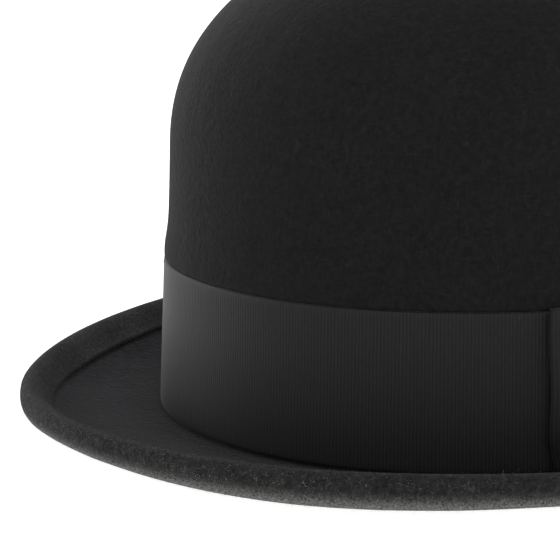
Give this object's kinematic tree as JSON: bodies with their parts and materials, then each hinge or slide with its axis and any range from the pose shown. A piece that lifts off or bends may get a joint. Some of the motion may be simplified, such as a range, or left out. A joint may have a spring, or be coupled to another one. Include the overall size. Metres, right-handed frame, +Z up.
{
  "type": "bowler hat",
  "caption": "Bowler hat of black felt: round hard crown, narrow rolled brim, wide ribbed ribbon with a flat side bow, leather sweatband, satin lining.",
  "frame": {"origin": "centre of the bounding box at the flat underside of the brim", "axes": "+Y to the back of the hat, +X to the wearer's left (bow side), +Z up through the crown"},
  "size_m": [0.2524, 0.288, 0.1375],
  "materials": {
    "felt": "matte black wool felt with a short raised nap",
    "ribbon": "matte black ribbed grosgrain",
    "leather": "smooth tan roan leather, low sheen",
    "reed": "thin leather wrapped round a cord",
    "thread_brown": "waxed thread",
    "narrow_ribbon": "narrow black ribbon",
    "satin": "ivory grey acetate satin, soft sheen",
    "piping": "satin covered piping cord",
    "clear_film": "clear flexible film",
    "tab": "blank woven tab",
    "thread_black": "black sewing thread"
  },
  "bodies": {
    "root": {"felt_body": "felt", "hat_ribbon": "ribbon", "bow_front_loop": "ribbon", "bow_rear_loop": "ribbon", "bow_knot": "ribbon", "sweatband": "leather", "sweatband_reed": "reed", "sweatband_stitches": "thread_brown", "sweatband_bow": "narrow_ribbon", "lining_side": "satin", "lining_tip": "satin", "lining_piping": "piping", "tip_guard": "clear_film", "size_tab": "tab", "ribbon_tacks": "thread_black"}
  },
  "joints": []
}
